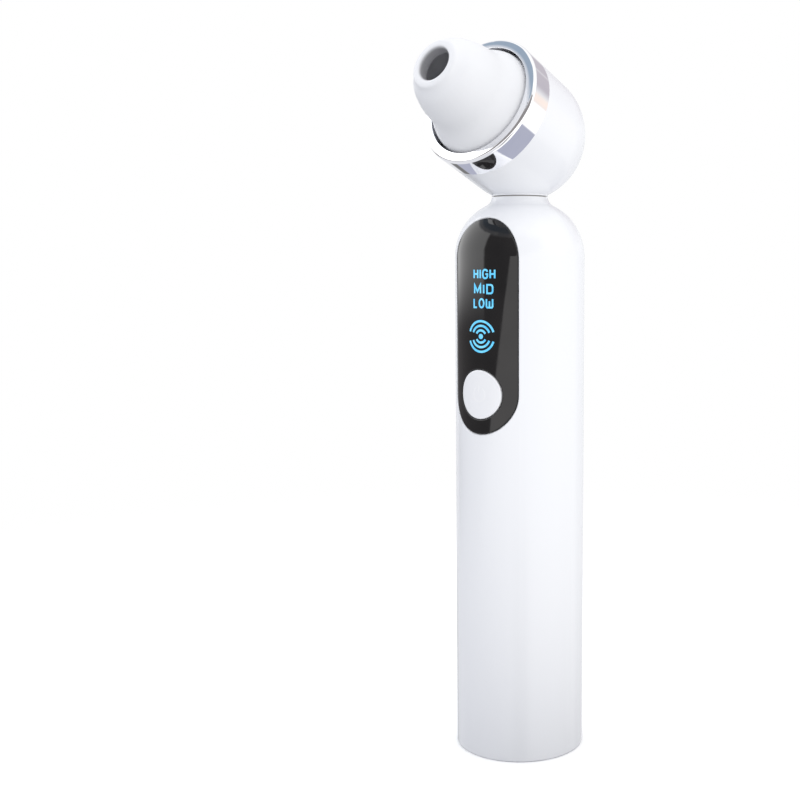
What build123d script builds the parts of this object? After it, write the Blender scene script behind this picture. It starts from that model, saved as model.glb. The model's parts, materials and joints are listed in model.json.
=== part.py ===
"""Pen-shaped blackhead vacuum extractor: swivelling tilted head on a tubular handle.

Frame: origin at the centre of the base, +Z up along the handle, -Y towards the display side.
All lengths are millimetres.
"""
from build123d import *
from math import cos, radians, sin, sqrt
import os

os.makedirs("parts", exist_ok=True)

# ---------------------------------------------------------------- driving dimensions
# Handle shell
BODY_R = 16.0
WALL = 2.2
DOME_Z = 123.2                      # where the straight wall ends and the shoulder begins
DOME_R = 13.9                       # radius of the shoulder arc
DOME_CX = BODY_R - DOME_R           # its centre, measured from the axis
NECK_R = 6.9
NECK_Z = 137.65                     # top of the neck
NECK_BORE_R = 5.5
NECK_SEAT_Z = 131.0                 # inner flat that the bushing flange bears on
NECK_BOSS_R = 8.4
BASE_EDGE = 0.35

# Base cap and its screws
CAP_R = 14.8
CAP_Z = 0.0
CAP_TOP = 2.6
SCREW_X = 11.3
BOSS_R = 2.3
BOSS_TOP = 12.4
BASE_SCREW_R = 0.85

# Display window and power button
WINDOW_HALF_W = 9.35
WINDOW_END_H = 9.6                  # height of each rounded end
WINDOW_Z0 = 80.7
WINDOW_Z1 = 132.2
WINDOW_T = 1.2
WINDOW_EDGE = 0.25                  # rounding of the window's rim
POCKET_EDGE = 0.3                   # bevel around the pocket in the shell
GASKET_T = 0.2
WINDOW_GAP = 0.08
APERTURE_INSET = 1.45
LEGEND_Z = 110.6                    # middle of the lit legend
BUTTON_Z = 90.3
BUTTON_R = 5.9
BUTTON_GAP = 0.12
BUTTON_FLANGE_R = 6.8
BUTTON_TRAVEL = 0.6                 # stroke of the button and its plunger

# Circuit boards stand on one plane behind the window
BOARD_BACK_Y = -8.2
BOARD_T = 1.0
BOARD_FRONT_Y = BOARD_BACK_Y - BOARD_T
MAIN_Z0, MAIN_Z1, MAIN_HALF_W = 5.0, 72.0, 9.9
DISP_Z0, DISP_Z1, DISP_HALF_W = 74.0, 126.5, 8.4
MAIN_SCREWS = [(8.0, 26.0), (-8.0, 56.0)]
DISP_SCREWS = [(7.4, 78.0), (-7.4, 108.0)]

# Chassis
CHASSIS_R = 13.5
CHASSIS_WALL = 1.2
CHASSIS_Z0 = 13.0
CHASSIS_Z1 = 125.4
LOWER_DECK = (13.0, 14.4)
UPPER_DECK = (66.5, 68.0)
DECK_FRONT_Y = -7.7

# Battery cell
CELL_R = 9.1
CELL_Y = 2.8
CELL_Z0 = 15.4
CELL_Z1 = 64.9

# Motor and pump share one axis, parallel to the handle's
PUMP_Y = 2.2
PUMP_R = 10.0
CAN_R = 9.8
CAN_T = 0.6
MOTOR_PAD = (68.0, 69.5)
END_CAP = (69.5, 72.2)
CAN = (72.2, 95.0)
CRANK = (95.0, 105.0)
DIAPHRAGM = (105.0, 106.0)
VALVE_PLATE = (106.0, 109.0)
PUMP_COVER = (109.0, 112.5)
SHAFT_R = 1.0
BUSH_R = 3.0
PUMP_SCREW_R = 8.5                  # radius of the circle the pump screws stand on
PUMP_SCREW_Z = 98.2
PUMP_SCREW_CORE_R = 0.75
PUMP_HOLE_R = 0.8
ARMATURE = (77.0, 89.5)
COMMUTATOR = (73.2, 76.8)
CUP_Z = 104.3                       # underside of the diaphragm cups
ECCENTRIC_Z = 97.0
ECCENTRIC_R = 4.0
ECCENTRIC_THROW = 0.9
NIPPLE_R = 1.8
NIPPLE_TOP = 118.5
HOSE_Z = 113.0                      # lower end of the suction hose and of the muffler
OUTLET_Y = 7.2

# Neck swivel
SPIGOT_R = 4.4
SPIGOT_TOP = 143.6
SPIGOT_BORE_R = 3.0
WASHER_TOP = 137.9
HEAD_CUT_Z = 137.95                 # lower end of the head
HEAD_BOSS_TOP = 142.3
CLIP = (142.5, 143.1)
CLIP_GROOVE_R = 3.8
TUBE_TOP = 148.4

# Head: a barrel with a round rear, tilted forwards from the vertical
HEAD_Z = 152.7
HEAD_TILT = 67.4
HEAD_R = 16.0
HEAD_WALL = 2.1
RING_S = (11.3, 17.4)               # chrome ring, measured along the barrel
RING_SPIGOT_R = 14.75
LIP_S = 15.2                        # rear face of the ring's inward lip
RING_LIP_R = 13.6
RING_CROWN = 0.1                    # rise of the lip's inner edge above RING_S[1]
RING_EDGE_R = 15.2                  # where the lip's front meets its outer rounding
RING_EDGE = 0.8
SEAT_S = (9.0, 11.2)
SEAT_R = 13.8
SEAT_SPIGOT_R = 10.8
SEAT_TOP = 15.6
SEAT_SCREW_R = 12.3                 # radius of the circle the seat screws stand on
SEAT_BOSS_S = 2.5
SEAT_BOSS_R = 1.9
SEAT_SCREW_S = 4.2
SEAT_SCREW_CORE_R = 0.7
SEAT_SCREW_SINK = 1.1
SEAL_S = 13.4                       # where the tip seal sits along the barrel
SEAL_CORD_R = 0.75
HOSE_R = 2.9
HOSE_BORE_R = 1.9

# Suction tip
TIP_R = 13.2
TIP_WALL = 1.5
TIP_S0 = 11.5
TIP_S1 = 34.2
MOUTH_R = 4.0
MOUTH_DEPTH = 2.7
MOUTH_EDGE = 0.8                    # rounding of the mouth's rim
THROAT_R = 5.4

# ---------------------------------------------------------------- planes and helpers
TILT_SIN = sin(radians(HEAD_TILT))
TILT_COS = cos(radians(HEAD_TILT))
HEAD_ORIGIN = (0, 0, HEAD_Z)
HEAD_DIR = (0, -TILT_SIN, TILT_COS)
HEAD_PLANE = Plane(origin=HEAD_ORIGIN, x_dir=(1, 0, 0), z_dir=HEAD_DIR)
HEAD_SECTION = Plane(origin=HEAD_ORIGIN, x_dir=(1, 0, 0), z_dir=(0, -TILT_COS, -TILT_SIN))
HEAD_AXIS = Axis(HEAD_ORIGIN, HEAD_DIR)
FRONT = Plane.XZ                    # its normal is -Y, so offset(d) lies at y = -d


def head_point(s):
    """Point on the barrel axis at distance s from the centre of the head."""
    return (0, s * HEAD_DIR[1], HEAD_Z + s * HEAD_DIR[2])


def save(node, label):
    node.part.label = label
    export_step(node.part, f"parts/{label}.step")


def front_layer(outer_depth, inner_depth):
    """Layer of the handle's skin between two depths below its outer surface."""
    z_low, end_angle = WINDOW_Z0 - 5, 62
    with BuildPart() as layer:
        with BuildSketch(Plane.XZ):
            with BuildLine():
                outer = CenterArc((DOME_CX, DOME_Z), DOME_R - outer_depth, 0, end_angle)
                inner = CenterArc((DOME_CX, DOME_Z), DOME_R - inner_depth, 0, end_angle)
                Line(outer @ 1, inner @ 1)
                Line(inner @ 0, (BODY_R - inner_depth, z_low))
                Line((BODY_R - inner_depth, z_low), (BODY_R - outer_depth, z_low))
                Line((BODY_R - outer_depth, z_low), outer @ 0)
            make_face()
        revolve(axis=Axis.Z)
    return layer.part


def window_prism(inset):
    """Upright stadium outline of the window, shrunk by inset, run towards -Y."""
    low = WINDOW_Z0 + WINDOW_END_H
    high = WINDOW_Z1 - WINDOW_END_H
    half_w, end_h = WINDOW_HALF_W - inset, WINDOW_END_H - inset
    with BuildPart() as prism:
        with BuildSketch(FRONT):
            with Locations((0, (low + high) / 2)):
                Rectangle(2 * half_w, high - low)
            with Locations((0, low), (0, high)):
                Ellipse(half_w, end_h)
        extrude(amount=BODY_R + 2)
    return prism.part


def rim_edges(node):
    """Edges of the window, or of its pocket, that lie on the handle's outer surface."""
    found = []
    for edge in node.part.edges():
        mid = edge.position_at(0.5)
        if mid.Y > -8 or not WINDOW_Z0 - 2 < mid.Z < WINDOW_Z1 + 2 or abs(mid.Z - DOME_Z) < 0.01:
            continue
        rise = max(mid.Z - DOME_Z, 0)
        skin_r = DOME_CX + sqrt(DOME_R ** 2 - rise ** 2)
        if abs(Vector(mid.X, mid.Y).length - skin_r) < 0.02:
            found.append(edge)
    return found


def disc(plane, radius, height, hole=0.0):
    """Round disc or ring on a plane, for building up sub-parts."""
    with BuildSketch(plane) as outline:
        Circle(radius)
        if hole:
            Circle(hole, mode=Mode.SUBTRACT)
    extrude(outline.sketch, amount=height)


def at(z, y=0.0, x=0.0):
    """Horizontal plane at height z."""
    return Plane(origin=(x, y, z))


# ---------------------------------------------------------------- handle shell and base cap
with BuildPart() as handle_shell:
    inner_dome_r = DOME_R - WALL
    fillet_r = 2.4
    # The concave fillet is tangent to the shoulder arc and to the neck
    fillet_cx = NECK_R + fillet_r
    fillet_cz = DOME_Z + sqrt((DOME_R + fillet_r) ** 2 - (fillet_cx - DOME_CX) ** 2)
    neck_top = (fillet_cx - sqrt(fillet_r ** 2 - (fillet_cz - NECK_Z) ** 2), NECK_Z)
    blend = DOME_R / (DOME_R + fillet_r)
    blend_pt = (DOME_CX + (fillet_cx - DOME_CX) * blend, DOME_Z + (fillet_cz - DOME_Z) * blend)
    with BuildSketch(Plane.XZ):
        with BuildLine():
            Line((0, 0), (BODY_R - BASE_EDGE, 0))
            RadiusArc((BODY_R - BASE_EDGE, 0), (BODY_R, BASE_EDGE), -BASE_EDGE)
            Line((BODY_R, BASE_EDGE), (BODY_R, DOME_Z))
            RadiusArc((BODY_R, DOME_Z), blend_pt, -DOME_R)
            RadiusArc(blend_pt, neck_top, fillet_r)
            Line(neck_top, (0, NECK_Z))
            Line((0, NECK_Z), (0, 0))
        make_face()
    revolve(axis=Axis.Z)
    # Cavity: straight bore, domed roof
    roof_z = DOME_Z + sqrt(inner_dome_r ** 2 - DOME_CX ** 2)
    with BuildSketch(Plane.XZ):
        with BuildLine():
            Line((0, CAP_TOP), (BODY_R - WALL, CAP_TOP))
            Line((BODY_R - WALL, CAP_TOP), (BODY_R - WALL, DOME_Z))
            RadiusArc((BODY_R - WALL, DOME_Z), (0, roof_z), -inner_dome_r)
            Line((0, roof_z), (0, CAP_TOP))
        make_face()
    revolve(axis=Axis.Z, mode=Mode.SUBTRACT)
    disc(at(NECK_SEAT_Z), NECK_BOSS_R, 4.2)
    with BuildSketch(at(NECK_SEAT_Z - 1)):
        Circle(NECK_BORE_R)
    extrude(amount=20, mode=Mode.SUBTRACT)
    with BuildSketch(at(-1)):
        Circle(CAP_R + 0.1)
    extrude(amount=1 + CAP_TOP, mode=Mode.SUBTRACT)
    # Two bosses for the base screws, joined to the wall
    with BuildSketch(at(CAP_TOP)):
        with Locations((SCREW_X, 0), (-SCREW_X, 0)):
            Circle(BOSS_R)
        with Locations((SCREW_X + 1.6, 0), (-SCREW_X - 1.6, 0)):
            Rectangle(2.4, 3.2)
    extrude(amount=BOSS_TOP - CAP_TOP)
    with BuildSketch(at(CAP_TOP)):
        with Locations((SCREW_X, 0), (-SCREW_X, 0)):
            Circle(BASE_SCREW_R)
    extrude(amount=8, mode=Mode.SUBTRACT)
    # Window pocket and the aperture behind it
    add(front_layer(-2.0, WINDOW_T + GASKET_T) & window_prism(-WINDOW_GAP), mode=Mode.SUBTRACT)
    chamfer(rim_edges(handle_shell), POCKET_EDGE)
    add(front_layer(-2.0, WALL + 1.5) & window_prism(APERTURE_INSET), mode=Mode.SUBTRACT)
    # Exhaust vents in the rear
    with BuildSketch(Plane(origin=(0, BODY_R + 1, 34), x_dir=(-1, 0, 0), z_dir=(0, 1, 0))):
        with GridLocations(3.2, 3.2, 3, 5):
            Circle(0.75)
    extrude(amount=-5, mode=Mode.SUBTRACT)
save(handle_shell, "handle_shell")

PORT_Y = BOARD_BACK_Y + 1.63        # charging socket lies on the back of the main board
POST_X, POST_Y = 6.0, 9.5

with BuildPart() as base_cap:
    disc(at(CAP_Z), CAP_R, CAP_TOP - CAP_Z)
    with BuildSketch(at(CAP_TOP)):
        with Locations((POST_X, POST_Y), (-POST_X, POST_Y)):
            Circle(1.8)
    extrude(amount=CHASSIS_Z0 - CAP_TOP)
    chamfer(base_cap.faces().filter_by(Axis.Z).sort_by(Axis.Z)[0].outer_wire().edges(), 0.3)
    with Locations(Plane(origin=(0, 0, CAP_Z), x_dir=(1, 0, 0), z_dir=(0, 0, -1))):
        with Locations((SCREW_X, 0), (-SCREW_X, 0)):
            CounterBoreHole(radius=1.1, counter_bore_radius=2.0, counter_bore_depth=1.2)
    with BuildSketch(at(CAP_Z, PORT_Y)):
        RectangleRounded(9.4, 3.7, 1.7)
    extrude(amount=CAP_TOP, mode=Mode.SUBTRACT)
save(base_cap, "base_cap")

with BuildPart() as base_screws:
    for x in (SCREW_X, -SCREW_X):
        disc(at(CAP_Z + 0.1, 0, x), 1.9, 1.1)
        disc(at(CAP_Z + 1.2, 0, x), BASE_SCREW_R, 8.0)
    with BuildSketch(at(CAP_Z + 0.1)):
        with Locations((SCREW_X, 0), (-SCREW_X, 0)):
            Rectangle(2.2, 0.5)
            Rectangle(0.5, 2.2)
    extrude(amount=0.5, mode=Mode.SUBTRACT)
save(base_screws, "base_screws")

# ---------------------------------------------------------------- chassis
with BuildPart() as chassis:
    with BuildSketch(at(CHASSIS_Z0)):
        Circle(CHASSIS_R)
        Circle(CHASSIS_R - CHASSIS_WALL, mode=Mode.SUBTRACT)
    extrude(amount=CHASSIS_Z1 - CHASSIS_Z0)
    for low, high in (LOWER_DECK, UPPER_DECK):
        disc(at(low), CHASSIS_R, high - low)
    # Ears that the board screws enter
    with BuildSketch(FRONT.offset(3.6)):
        for z in (26, 56, 78, 108):
            with Locations((9.6, z), (-9.6, z)):
                Rectangle(5.2, 5.0)
    extrude(amount=4.6)
    with BuildSketch(at(CHASSIS_Z0)):
        Circle(CHASSIS_R)
    extrude(amount=CHASSIS_Z1 - CHASSIS_Z0, mode=Mode.INTERSECT)
    # Open front: the boards close it
    with Locations((0, BOARD_BACK_Y - 10, 70)):
        Box(40, 20, 200, mode=Mode.SUBTRACT)
    # Decks stop short of the boards
    for low, high in (LOWER_DECK, UPPER_DECK):
        with Locations((0, DECK_FRONT_Y - 5, (low + high) / 2)):
            Box(17.0, 10, high - low, mode=Mode.SUBTRACT)
    # Clearance for the pump and the cell between the ears
    for y, radius, low, high in ((CELL_Y, CELL_R + 0.1, LOWER_DECK[1], UPPER_DECK[0]),
                                 (PUMP_Y, PUMP_R + 0.05, UPPER_DECK[1], CHASSIS_Z1)):
        with BuildSketch(at(low, y)):
            Circle(radius)
        extrude(amount=high - low, mode=Mode.SUBTRACT)
    # Rear air window, and the motor lead opening
    with BuildSketch(Plane(origin=(0, 17, 38), x_dir=(-1, 0, 0), z_dir=(0, 1, 0))):
        RectangleRounded(10, 34, 2)
        with Locations((0, 52)):
            RectangleRounded(10, 20, 2)
    extrude(amount=-6, mode=Mode.SUBTRACT)
    with BuildSketch(at(UPPER_DECK[0], PUMP_Y)):
        Circle(3.4)
    extrude(amount=UPPER_DECK[1] - UPPER_DECK[0], mode=Mode.SUBTRACT)
    # Pilot holes for the board screws
    with BuildSketch(FRONT.offset(-BOARD_BACK_Y)):
        with Locations(*MAIN_SCREWS, *DISP_SCREWS):
            Circle(0.6)
    extrude(amount=-3.6, mode=Mode.SUBTRACT)
save(chassis, "chassis")

# ---------------------------------------------------------------- battery
with BuildPart() as battery_foam:
    disc(at(LOWER_DECK[1], CELL_Y), CELL_R - 0.3, 0.85)
save(battery_foam, "battery_foam")

with BuildPart() as battery_cell:
    disc(at(CELL_Z0, CELL_Y), CELL_R, CELL_Z1 - CELL_Z0)
    fillet(battery_cell.edges().group_by(Axis.Z)[0], 0.6)
    fillet(battery_cell.edges().group_by(Axis.Z)[-1], 0.6)
save(battery_cell, "battery_cell")

TAB_T = 0.15
TAB_Y = CELL_Y - CELL_R - 0.25
with BuildPart() as battery_tabs:
    for z_flat, z_up0, z_up1 in ((CELL_Z0 - TAB_T, CELL_Z0 - TAB_T, 30.0),
                                 (CELL_Z1, 52.0, CELL_Z1 + TAB_T)):
        with BuildSketch(at(z_flat, (CELL_Y + TAB_Y) / 2)):
            Rectangle(4, CELL_Y - TAB_Y)
        extrude(amount=TAB_T)
        with BuildSketch(at(z_up0, TAB_Y + TAB_T / 2)):
            Rectangle(4, TAB_T)
        extrude(amount=z_up1 - z_up0)
save(battery_tabs, "battery_tabs")

with BuildPart() as battery_leads:
    with BuildSketch(FRONT.offset(-TAB_Y)):
        with Locations((0, 28), (0, 54)):
            Circle(0.45)
    extrude(amount=TAB_Y - BOARD_BACK_Y)
save(battery_leads, "battery_leads")

# ---------------------------------------------------------------- boards
with BuildPart() as main_pcb:
    with BuildSketch(FRONT.offset(-BOARD_BACK_Y)):
        with Locations((0, (MAIN_Z0 + MAIN_Z1) / 2)):
            RectangleRounded(2 * MAIN_HALF_W, MAIN_Z1 - MAIN_Z0, 1)
        with Locations(*MAIN_SCREWS):
            Circle(0.8, mode=Mode.SUBTRACT)
    extrude(amount=BOARD_T)
save(main_pcb, "main_pcb")

with BuildPart() as main_pcb_components:
    # Inductor, controller, charger, transistors and capacitors on the front face
    for x, z, width, height, thick in ((-3.5, 48, 5.0, 5.0, 2.4), (3.5, 40, 5.0, 5.0, 0.9),
                                       (-3.5, 20, 3.9, 4.9, 1.4), (3.6, 16, 3.0, 1.6, 1.1),
                                       (3.6, 20, 3.0, 1.6, 1.1), (-3.8, 33, 2.0, 1.25, 0.9),
                                       (0.5, 30, 2.0, 1.25, 0.9), (4.4, 57, 3.2, 1.6, 1.2)):
        with BuildSketch(FRONT.offset(-BOARD_FRONT_Y)):
            with Locations((x, z)):
                RectangleRounded(width, height, 0.2)
        extrude(amount=thick)
save(main_pcb_components, "main_pcb_components")

with BuildPart() as usb_c_socket:
    with BuildSketch(at(1.5, PORT_Y)):
        RectangleRounded(8.94, 3.26, 1.5)
    extrude(amount=7.3)
    with BuildSketch(at(1.5, PORT_Y)):
        RectangleRounded(8.3, 2.6, 1.25)
        Rectangle(6.6, 0.7, mode=Mode.SUBTRACT)
    extrude(amount=6.2, mode=Mode.SUBTRACT)
    with Locations((0, PORT_Y, 1.9)):
        Box(6.7, 0.8, 0.81, mode=Mode.SUBTRACT)
save(usb_c_socket, "usb_c_socket")

with BuildPart() as board_screws:
    for x, z in MAIN_SCREWS + DISP_SCREWS:
        with BuildSketch(FRONT.offset(-BOARD_FRONT_Y)):
            with Locations((x, z)):
                Circle(1.3)
        extrude(amount=0.9)
        with BuildSketch(FRONT.offset(-BOARD_FRONT_Y)):
            with Locations((x, z)):
                Circle(0.6)
        extrude(amount=-4.0)
    with BuildSketch(FRONT.offset(-BOARD_FRONT_Y + 0.5)):
        with Locations(*MAIN_SCREWS, *DISP_SCREWS):
            Rectangle(1.6, 0.35)
            Rectangle(0.35, 1.6)
    extrude(amount=1, mode=Mode.SUBTRACT)
save(board_screws, "board_screws")

with BuildPart() as display_pcb:
    with BuildSketch(FRONT.offset(-BOARD_BACK_Y)):
        with Locations((0, (DISP_Z0 + DISP_Z1) / 2)):
            RectangleRounded(2 * DISP_HALF_W, DISP_Z1 - DISP_Z0, 2)
        with Locations(*DISP_SCREWS):
            Circle(0.7, mode=Mode.SUBTRACT)
    extrude(amount=BOARD_T)
save(display_pcb, "display_pcb")

LED_SPOTS = [(-2.4, 119.0), (2.4, 119.0), (-2.4, 115.6), (2.4, 115.6), (-2.4, 112.2), (2.4, 112.2),
             (-2.0, 106.4), (2.0, 106.4), (-2.0, 102.0), (2.0, 102.0)]
with BuildPart() as display_leds:
    with BuildSketch(FRONT.offset(-BOARD_FRONT_Y)):
        for x, z in LED_SPOTS:
            with Locations((x, z)):
                Rectangle(1.6, 0.8)
    extrude(amount=0.6)
save(display_leds, "display_leds")

GUIDE_Y = -12.2                     # front of the light guide
with BuildPart() as light_guide:
    with BuildSketch(FRONT.offset(-BOARD_FRONT_Y)):
        with Locations((0, LEGEND_Z)):
            RectangleRounded(10.4, 24, 1)
    extrude(amount=BOARD_FRONT_Y - GUIDE_Y)
    # One cell over each row of LEDs
    with BuildSketch(FRONT.offset(-BOARD_FRONT_Y)):
        for z, height in ((119.0, 2.4), (115.6, 2.4), (112.2, 2.4), (104.2, 7.4)):
            with Locations((0, z)):
                Rectangle(8.2, height)
    extrude(amount=2.2, mode=Mode.SUBTRACT)
save(light_guide, "light_guide")

with BuildPart() as display_flex:
    with BuildSketch(FRONT.offset(-BOARD_FRONT_Y)):
        with Locations((0, 73)):
            Rectangle(6, 16)
    extrude(amount=0.15)
save(display_flex, "display_flex")

# ---------------------------------------------------------------- window and what lies behind it
with BuildPart() as display_window:
    add(front_layer(0.0, WINDOW_T) & window_prism(0.0))
    with BuildSketch(FRONT):
        with Locations((0, BUTTON_Z)):
            Circle(BUTTON_R + BUTTON_GAP)
    extrude(amount=BODY_R + 2, mode=Mode.SUBTRACT)
    fillet(rim_edges(display_window), WINDOW_EDGE)
save(display_window, "display_window")

with BuildPart() as window_gasket:
    add(front_layer(WINDOW_T, WINDOW_T + GASKET_T) & window_prism(0.1))
    add(window_prism(APERTURE_INSET), mode=Mode.SUBTRACT)
save(window_gasket, "window_gasket")

with BuildPart() as legend_film:
    add(front_layer(WINDOW_T, WINDOW_T + 0.15))
    with BuildSketch(FRONT):
        with Locations((0, LEGEND_Z)):
            RectangleRounded(11, 25, 1)
    extrude(amount=BODY_R + 2, mode=Mode.INTERSECT)
save(legend_film, "legend_film")

# ---------------------------------------------------------------- power button and switch
FLANGE_Y = -13.1
BUTTON_BACK_Y = -12.5
SWITCH_Y = -11.6
SWITCH_FLOOR_Y = BOARD_FRONT_Y - 0.3
PLUNGER_BACK_Y = SWITCH_FLOOR_Y - BUTTON_TRAVEL - 0.1
with BuildPart() as power_button:
    with BuildSketch(FRONT.offset(-FLANGE_Y)):
        with Locations((0, BUTTON_Z)):
            Circle(BUTTON_R)
    extrude(amount=6)
    with BuildSketch(at(BUTTON_Z - 10)):
        Circle(BODY_R + 0.12)
    extrude(amount=20, mode=Mode.INTERSECT)
    fillet(power_button.edges().group_by(Axis.Y)[0], 0.25)
    with BuildSketch(FRONT.offset(-BUTTON_BACK_Y)):
        with Locations((0, BUTTON_Z)):
            Circle(BUTTON_FLANGE_R)
    extrude(amount=BUTTON_BACK_Y - FLANGE_Y)
save(power_button, "power_button")

with BuildPart() as tact_switch:
    with BuildSketch(FRONT.offset(-BOARD_FRONT_Y)):
        with Locations((0, BUTTON_Z)):
            RectangleRounded(4.6, 4.6, 0.4)
    extrude(amount=BOARD_FRONT_Y - SWITCH_Y)
    with BuildSketch(FRONT.offset(-SWITCH_FLOOR_Y)):
        with Locations((0, BUTTON_Z)):
            Circle(1.55)
    extrude(amount=4, mode=Mode.SUBTRACT)
save(tact_switch, "tact_switch")

with BuildPart() as switch_plunger:
    with BuildSketch(FRONT.offset(-BUTTON_BACK_Y)):
        with Locations((0, BUTTON_Z)):
            Circle(1.5)
    extrude(amount=BUTTON_BACK_Y - PLUNGER_BACK_Y)
save(switch_plunger, "switch_plunger")

with BuildPart() as button_pad:
    # Silicone cone that returns the button
    with BuildSketch(FRONT.offset(-BOARD_FRONT_Y)):
        with Locations((0, BUTTON_Z)):
            Circle(6.2)
            Circle(5.4, mode=Mode.SUBTRACT)
    with BuildSketch(FRONT.offset(-BUTTON_BACK_Y - 0.05)):
        with Locations((0, BUTTON_Z)):
            Circle(4.8)
            Circle(4.0, mode=Mode.SUBTRACT)
    loft()
save(button_pad, "button_pad")

# ---------------------------------------------------------------- motor
with BuildPart() as motor_pad:
    disc(at(MOTOR_PAD[0], PUMP_Y), 9.4, MOTOR_PAD[1] - MOTOR_PAD[0], 3.4)
save(motor_pad, "motor_pad")

with BuildPart() as motor_end_cap:
    disc(at(END_CAP[0], PUMP_Y), CAN_R - 0.2, END_CAP[1] - END_CAP[0])
    with BuildSketch(at(END_CAP[0] + 0.5, PUMP_Y)):
        Circle(SHAFT_R + 0.06)
    extrude(amount=5, mode=Mode.SUBTRACT)
save(motor_end_cap, "motor_end_cap")

with BuildPart() as motor_leads:
    with BuildSketch(FRONT.offset(5.6)):
        with Locations((3.5, 70.9), (-3.5, 70.9)):
            Circle(0.45)
    extrude(amount=-BOARD_BACK_Y - 5.6)
    add(motor_end_cap.part, mode=Mode.SUBTRACT)
save(motor_leads, "motor_leads")

with BuildPart() as motor_can:
    disc(at(CAN[0], PUMP_Y), CAN_R, CAN[1] - CAN[0])
    fillet(motor_can.edges().group_by(Axis.Z)[-1], 0.5)
    with BuildSketch(at(CAN[0], PUMP_Y)):
        Circle(CAN_R - CAN_T)
    extrude(amount=CAN[1] - CAN[0] - CAN_T, mode=Mode.SUBTRACT)
    with BuildSketch(at(CAN[0], PUMP_Y)):
        Circle(BUSH_R)
    extrude(amount=40, mode=Mode.SUBTRACT)
save(motor_can, "motor_can")

with BuildPart() as motor_magnets:
    with BuildSketch(at(75.5, PUMP_Y)):
        Circle(CAN_R - CAN_T)
        Circle(6.7, mode=Mode.SUBTRACT)
        Rectangle(30, 7, mode=Mode.SUBTRACT)
    extrude(amount=15.5)
save(motor_magnets, "motor_magnets")

with BuildPart() as motor_bush:
    disc(at(93.2, PUMP_Y), BUSH_R, 3.2, SHAFT_R + 0.05)
save(motor_bush, "motor_bush")

with BuildPart() as motor_shaft:
    disc(at(70.2, PUMP_Y), SHAFT_R, 31.0)
save(motor_shaft, "motor_shaft")

with BuildPart() as motor_armature:
    disc(at(ARMATURE[0], PUMP_Y), 6.3, ARMATURE[1] - ARMATURE[0], SHAFT_R)
    with BuildSketch(at(ARMATURE[0], PUMP_Y)):
        with PolarLocations(3.9, 3):
            Rectangle(3.4, 1.4)
        with PolarLocations(4.2, 3, start_angle=60):
            Circle(1.1)
    extrude(amount=ARMATURE[1] - ARMATURE[0], mode=Mode.SUBTRACT)
save(motor_armature, "motor_armature")

with BuildPart() as commutator:
    disc(at(COMMUTATOR[0], PUMP_Y), 2.4, COMMUTATOR[1] - COMMUTATOR[0], SHAFT_R)
    with BuildSketch(at(COMMUTATOR[0], PUMP_Y)):
        with PolarLocations(2.3, 3):
            Rectangle(0.6, 0.35)
    extrude(amount=2.4, mode=Mode.SUBTRACT)
save(commutator, "commutator")

# ---------------------------------------------------------------- pump
PUMP_SCREW_ANGLES = (30, 150, 270)
PUMP_SCREW_SPOTS = [(PUMP_SCREW_R * cos(radians(a)), PUMP_SCREW_R * sin(radians(a)))
                    for a in PUMP_SCREW_ANGLES]
CHAMBER_R = 6.9
CUP_CIRCLE_R = 4.0

with BuildPart() as crank_housing:
    disc(at(CRANK[0], PUMP_Y), PUMP_R, CRANK[1] - CRANK[0])
    with BuildSketch(at(CRANK[0] + 1.5, PUMP_Y)):
        Circle(CHAMBER_R)
    extrude(amount=20, mode=Mode.SUBTRACT)
    with BuildSketch(at(CRANK[0], PUMP_Y)):
        Circle(BUSH_R)
    extrude(amount=2, mode=Mode.SUBTRACT)
    with BuildSketch(at(98, PUMP_Y)):
        with Locations(*PUMP_SCREW_SPOTS):
            Circle(PUMP_SCREW_CORE_R)
    extrude(amount=20, mode=Mode.SUBTRACT)
save(crank_housing, "crank_housing")

with BuildPart() as eccentric:
    with BuildSketch(at(ECCENTRIC_Z, PUMP_Y + ECCENTRIC_THROW)):
        Circle(ECCENTRIC_R)
    extrude(amount=4.6)
    with BuildSketch(at(ECCENTRIC_Z, PUMP_Y)):
        Circle(SHAFT_R)
    extrude(amount=4.2, mode=Mode.SUBTRACT)
save(eccentric, "eccentric")

with BuildPart() as wobble_plate:
    disc(at(102.6, PUMP_Y), 6.3, 1.7)
    disc(at(101.9, PUMP_Y), 1.4, 0.7)
save(wobble_plate, "wobble_plate")

with BuildPart() as diaphragm:
    disc(at(DIAPHRAGM[0], PUMP_Y), PUMP_R, DIAPHRAGM[1] - DIAPHRAGM[0])
    with BuildSketch(at(CUP_Z, PUMP_Y)):
        with PolarLocations(CUP_CIRCLE_R, 3, start_angle=90):
            Circle(2.0)
    extrude(amount=DIAPHRAGM[0] - CUP_Z)
    with BuildSketch(at(DIAPHRAGM[0], PUMP_Y)):
        with Locations(*PUMP_SCREW_SPOTS):
            Circle(PUMP_HOLE_R)
    extrude(amount=5, mode=Mode.SUBTRACT)
save(diaphragm, "diaphragm")

with BuildPart() as valve_plate:
    disc(at(VALVE_PLATE[0], PUMP_Y), PUMP_R, VALVE_PLATE[1] - VALVE_PLATE[0])
    # Cylinder above each diaphragm cup, with a port through its roof
    with BuildSketch(at(VALVE_PLATE[0], PUMP_Y)):
        with PolarLocations(CUP_CIRCLE_R, 3, start_angle=90):
            Circle(2.4)
    extrude(amount=1.8, mode=Mode.SUBTRACT)
    with BuildSketch(at(VALVE_PLATE[0], PUMP_Y)):
        with PolarLocations(CUP_CIRCLE_R, 3, start_angle=90):
            Circle(0.6)
        with Locations(*PUMP_SCREW_SPOTS):
            Circle(PUMP_HOLE_R)
    extrude(amount=5, mode=Mode.SUBTRACT)
save(valve_plate, "valve_plate")

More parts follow.
